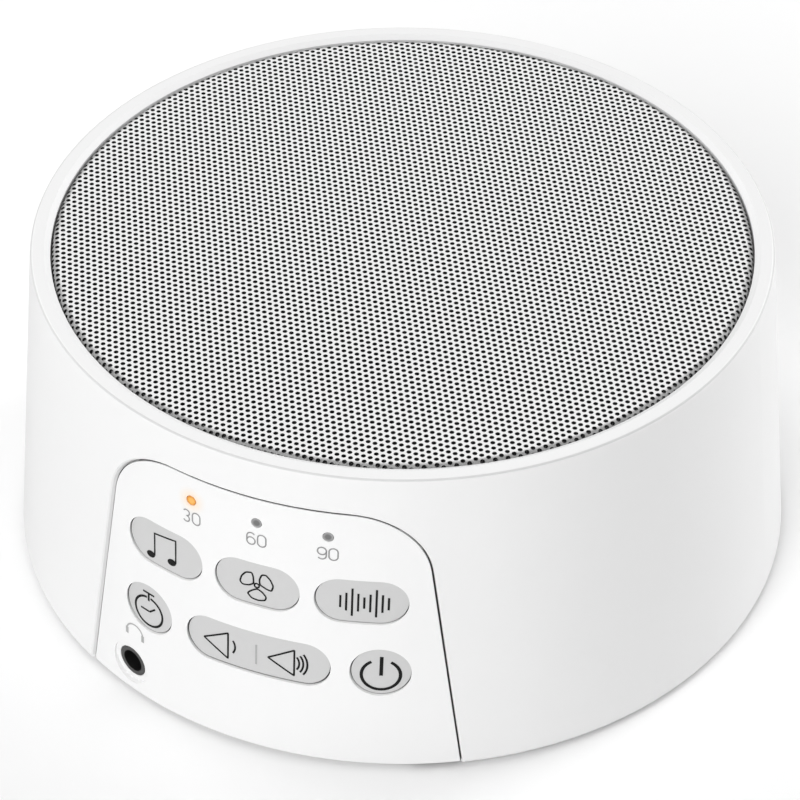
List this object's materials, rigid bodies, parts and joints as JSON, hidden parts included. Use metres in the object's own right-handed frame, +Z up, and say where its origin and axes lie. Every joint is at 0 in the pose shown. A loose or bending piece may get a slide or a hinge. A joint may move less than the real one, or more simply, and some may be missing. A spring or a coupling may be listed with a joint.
{
  "type": "white noise sound machine",
  "caption": "Round tapered bedside sound machine with a perforated top grille, a curved key panel, timer lamps and a headphone jack.",
  "frame": {"origin": "centre of the footprint on the surface the feet stand on", "axes": "+Z up through the grille, the control panel faces -Y, +X to the right seen from the front"},
  "size_m": [0.1194, 0.1188, 0.052],
  "materials": {
    "white_abs": "fine satin moulded",
    "white_metal": "satin powder coat",
    "lamp_lens": "diffuse light pipe",
    "grey_key": "matte moulded with printed icons",
    "black_plastic": "moulded",
    "board": "solder resist over glass fibre",
    "chip": "moulded epoxy",
    "can": "sleeved can",
    "ivory_plastic": "moulded nylon",
    "black_steel": "satin enamel",
    "zinc_steel": "zinc plated",
    "ferrite": "sintered ferrite",
    "paper": "pressed paper pulp",
    "copper": "enamelled copper winding",
    "foam": "moulded foam",
    "spider_cloth": "resin dipped cloth",
    "lead": "insulated lead",
    "ribbon": "flat cable",
    "foot_rubber": "soft rubber pad",
    "black_cloth": "open weave acoustic cloth"
  },
  "bodies": {
    "body": {"housing_shell": "white_abs", "grille": "white_metal", "dust_cloth": "black_cloth", "control_panel": "white_abs", "lens_30": "lamp_lens", "lens_60": "lamp_lens", "lens_90": "lamp_lens", "indicator_lamps": "lamp_lens", "switch_bodies": "black_plastic", "key_board": "board", "headphone_jack": "black_plastic", "main_board": "board", "controller_chip": "chip", "amplifier_chip": "chip", "capacitors": "can", "speaker_plug": "ivory_plastic", "ribbon_plug": "ivory_plastic", "power_socket": "black_plastic", "speaker_basket": "black_steel", "speaker_top_plate": "zinc_steel", "speaker_magnet": "ferrite", "speaker_pole": "zinc_steel", "speaker_surround": "foam", "speaker_spider": "spider_cloth", "speaker_gasket": "foam", "speaker_terminals": "board", "speaker_leads": "lead", "key_ribbon": "ribbon", "base_cover": "white_abs", "foot_rear_right": "foot_rubber", "foot_rear_left": "foot_rubber", "foot_front_left": "foot_rubber", "foot_front_right": "foot_rubber", "base_screws": "zinc_steel", "board_screws": "zinc_steel", "key_board_screws": "zinc_steel", "speaker_screws": "zinc_steel"},
    "music_key": {"key_music": "grey_key", "plunger_music": "black_plastic"},
    "fan_key": {"key_fan": "grey_key", "plunger_fan": "black_plastic"},
    "noise_key": {"key_noise": "grey_key", "plunger_noise": "black_plastic"},
    "timer_key": {"key_timer": "grey_key", "plunger_timer": "black_plastic"},
    "power_key": {"key_power": "grey_key", "plunger_power": "black_plastic"},
    "volume_key": {"key_volume": "grey_key"},
    "volume_down_plunger": {"plunger_volume_down": "black_plastic"},
    "volume_up_plunger": {"plunger_volume_up": "black_plastic"},
    "cone": {"speaker_cone": "paper", "voice_coil": "copper", "dust_cap": "paper"}
  },
  "joints": [
    {"name": "music_press", "type": "slide", "parent": "body", "child": "music_key", "axis": [0, 1, 0], "range_m": [0, 0.0003], "stiffness_N_per_m": 800},
    {"name": "fan_press", "type": "slide", "parent": "body", "child": "fan_key", "axis": [0, 1, 0], "range_m": [0, 0.0003], "stiffness_N_per_m": 800},
    {"name": "noise_press", "type": "slide", "parent": "body", "child": "noise_key", "axis": [0, 1, 0], "range_m": [0, 0.0003], "stiffness_N_per_m": 800},
    {"name": "timer_press", "type": "slide", "parent": "body", "child": "timer_key", "axis": [0, 1, 0], "range_m": [0, 0.0003], "stiffness_N_per_m": 800},
    {"name": "power_press", "type": "slide", "parent": "body", "child": "power_key", "axis": [0, 1, 0], "range_m": [0, 0.0003], "stiffness_N_per_m": 800},
    {"name": "volume_down_press", "type": "slide", "parent": "body", "child": "volume_down_plunger", "axis": [0, 1, 0], "range_m": [0, 0.00025], "stiffness_N_per_m": 800},
    {"name": "volume_up_press", "type": "slide", "parent": "body", "child": "volume_up_plunger", "axis": [0, 1, 0], "range_m": [0, 0.00025], "stiffness_N_per_m": 800},
    {"name": "volume_rock", "type": "hinge", "parent": "body", "child": "volume_key", "pos_m": [0, -0.05356, 0.01787], "axis": [0, 0, 1], "range_deg": [-1.9, 1.9], "stiffness_Nm_per_rad": 0.05},
    {"name": "cone_stroke", "type": "slide", "parent": "body", "child": "cone", "axis": [0, 0, 1], "range_m": [-0.0012, 0.0012], "stiffness_N_per_m": 1500, "deforming": ["speaker_surround", "speaker_spider"]}
  ]
}
